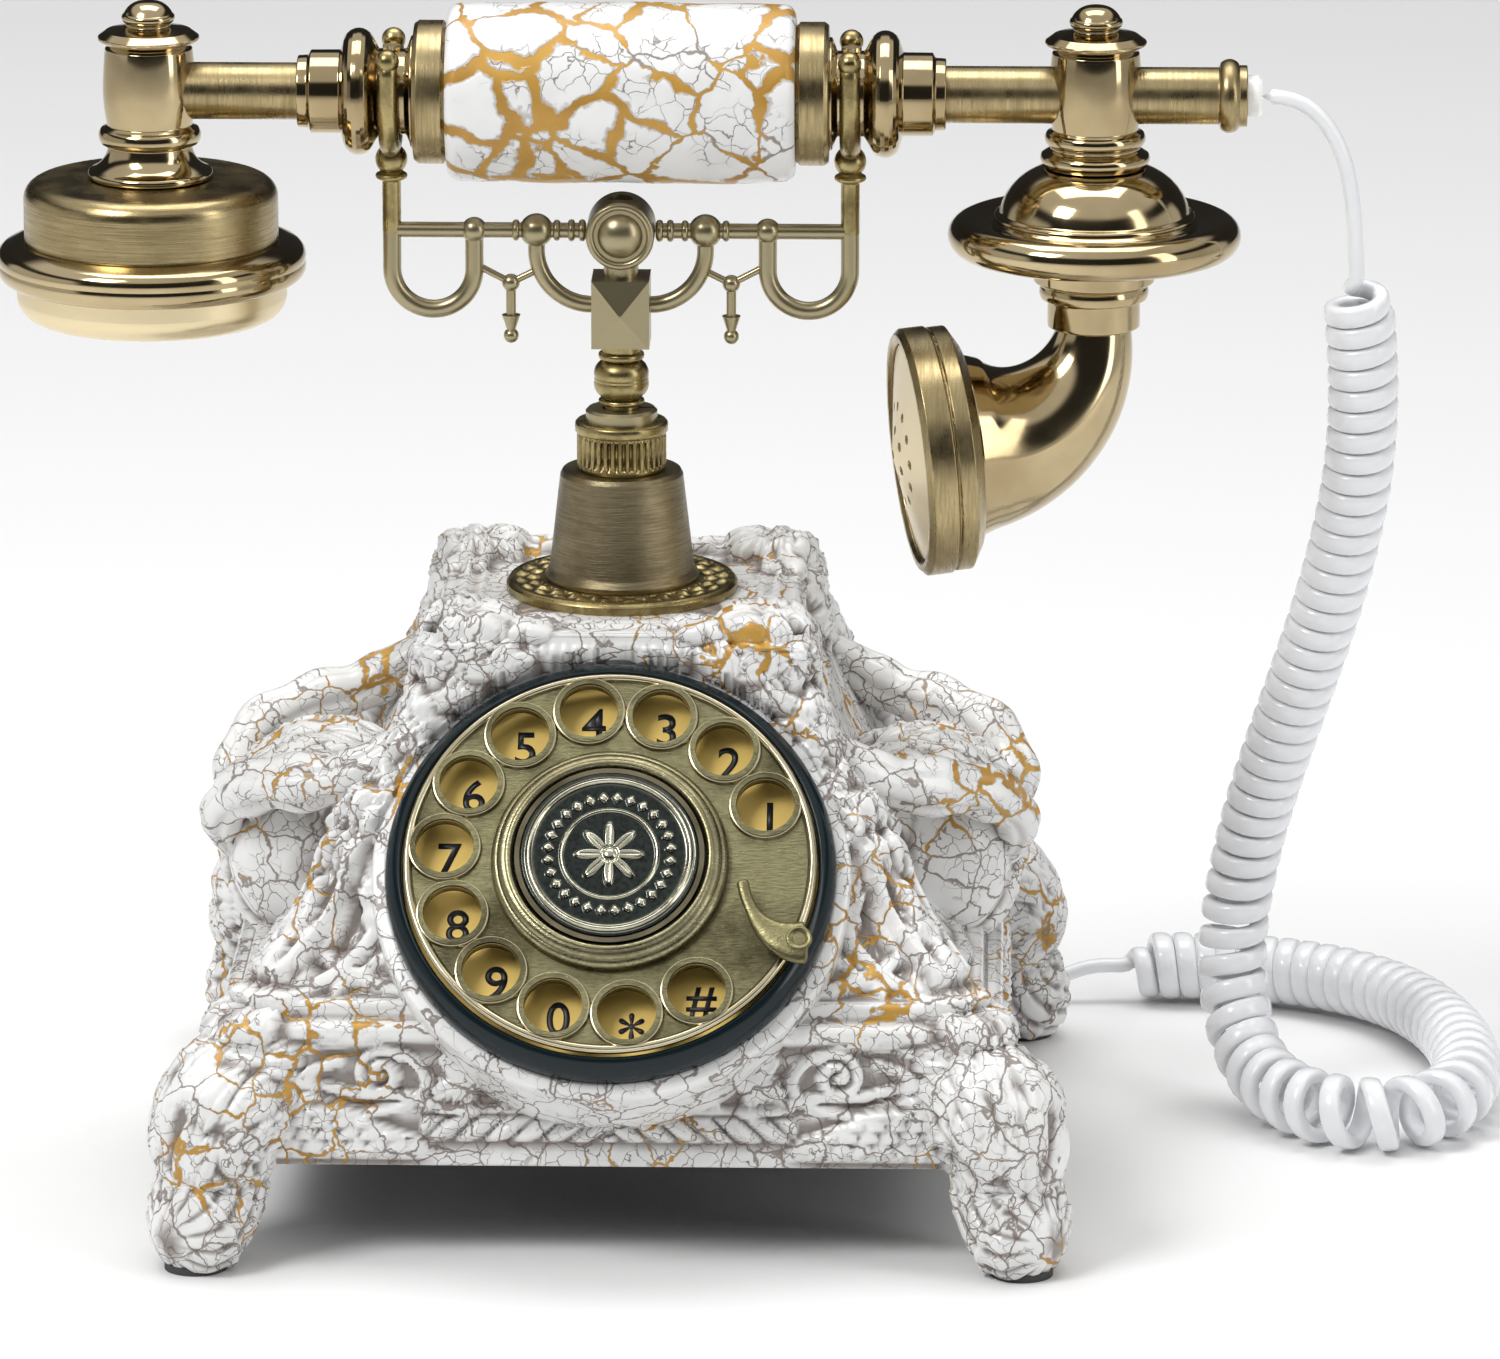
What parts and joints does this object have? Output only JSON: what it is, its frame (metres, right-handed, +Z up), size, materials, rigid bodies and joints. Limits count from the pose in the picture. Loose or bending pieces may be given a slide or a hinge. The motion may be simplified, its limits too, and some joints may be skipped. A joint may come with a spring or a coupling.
{
  "type": "rotary telephone",
  "caption": "Antique-style rotary telephone: white crackle base on cabriole legs, inclined finger dial, brass stem and sprung cradle, brass and resin handset, curly cord.",
  "frame": {"origin": "on the table under the stem's axis, which is the middle of the telephone without its cord", "axes": "+X along the handset towards its mouthpiece end, the dial faces -Y, +Z up"},
  "size_m": [0.3433, 0.2315, 0.2673],
  "materials": {
    "crackle_resin": "white crackle lacquer with gold in the cracks",
    "antique_brass": "brushed and darkened",
    "polished_brass": "polished, pale gold",
    "black_gloss": "glossy black",
    "number_card": "ochre enamel with dark figures",
    "steel": "plated",
    "circuit_board": "green circuit board",
    "dark_plastic": "moulded",
    "white_plastic": "moulded, white",
    "rubber": "soft",
    "white_cord": "glossy white cord jacket"
  },
  "bodies": {
    "base": {"base_shell": "crackle_resin", "bottom_cover": "dark_plastic", "cover_screws": "steel", "inner_screws": "steel", "foot_pads": "rubber", "main_board": "circuit_board", "ringer_speaker": "dark_plastic", "line_jack": "dark_plastic", "handset_jack": "dark_plastic", "dial_housing": "black_gloss", "number_plate": "number_card", "centre_post": "steel", "dial_board": "circuit_board", "stem_flange": "antique_brass", "stem_bell": "antique_brass", "knurled_collar": "antique_brass", "collar_cap": "antique_brass", "stem_tube": "steel", "stem_nut": "steel", "hook_cage": "steel", "hook_switch": "dark_plastic", "curly_cord": "white_cord", "base_lead": "white_cord", "base_plug": "white_plastic", "button_spring": "steel", "return_spring": "steel", "hook_spring": "steel"},
    "dial": {"finger_wheel": "antique_brass", "centre_ring": "antique_brass", "dial_gear": "dark_plastic"},
    "governor": {"governor_pinion": "dark_plastic"},
    "button": {"handsfree_button": "antique_brass"},
    "lever": {"redial_lever": "antique_brass"},
    "switch": {"ringer_switch": "dark_plastic"},
    "hook": {"hook_rod": "antique_brass", "cradle_block": "antique_brass", "cradle_boss": "antique_brass", "left_arm": "antique_brass", "right_arm": "antique_brass", "left_fork": "antique_brass", "right_fork": "antique_brass"},
    "handset": {"handset_tube": "polished_brass", "grip": "crackle_resin", "ferrules": "polished_brass", "necks": "polished_brass", "neck_screws": "polished_brass", "cord_bush": "white_plastic", "receiver_post": "polished_brass", "receiver_shell": "polished_brass", "receiver_ring": "polished_brass", "ear_cap": "polished_brass", "receiver_capsule": "dark_plastic", "finials": "polished_brass", "mic_post": "polished_brass", "mic_dome": "polished_brass", "horn": "polished_brass", "mouth_ring": "polished_brass", "mouth_grille": "polished_brass", "mic_capsule": "dark_plastic", "handset_lead": "white_cord"}
  },
  "joints": [
    {"name": "dial_spin", "type": "hinge", "parent": "base", "child": "dial", "pos_m": [0, -0.0741, 0.0887], "axis": [0, -0.766, 0.6428], "range_deg": [-305, 0], "stiffness_Nm_per_rad": 0.004, "springref_deg": 57.3},
    {"name": "governor_spin", "type": "hinge", "parent": "base", "child": "governor", "pos_m": [-0.02185, -0.05736, 0.10865], "axis": [0, -0.766, 0.6428], "range_deg": [-10, 1230]},
    {"name": "button_press", "type": "slide", "parent": "base", "child": "button", "axis": [0, 0.766, -0.6428], "range_m": [0, 0.0015], "stiffness_N_per_m": 600, "springref_m": -0.003, "deforming": ["button_spring"]},
    {"name": "redial_press", "type": "hinge", "parent": "base", "child": "lever", "pos_m": [0.0436, -0.086, 0.0722], "axis": [-0.719, -0.4467, -0.5324], "range_deg": [0, 3], "stiffness_Nm_per_rad": 0.5, "springref_deg": -5.73},
    {"name": "ringer_slide", "type": "slide", "parent": "base", "child": "switch", "axis": [1, 0, 0], "range_m": [0, 0.004]},
    {"name": "handset_lift", "type": "slide", "parent": "base", "child": "handset", "axis": [0, 0, 1], "range_m": [0, 0.13]},
    {"name": "hook_rise", "type": "slide", "parent": "base", "child": "hook", "axis": [0, 0, 1], "range_m": [0, 0.005], "stiffness_N_per_m": 250, "springref_m": 0.012, "deforming": ["hook_spring"]}
  ],
  "couplings": [
    {"joint": "governor_spin", "follows": "dial_spin", "ratio": -4},
    {"joint": "hook_rise", "follows": "handset_lift", "ratio": 0.038462}
  ]
}
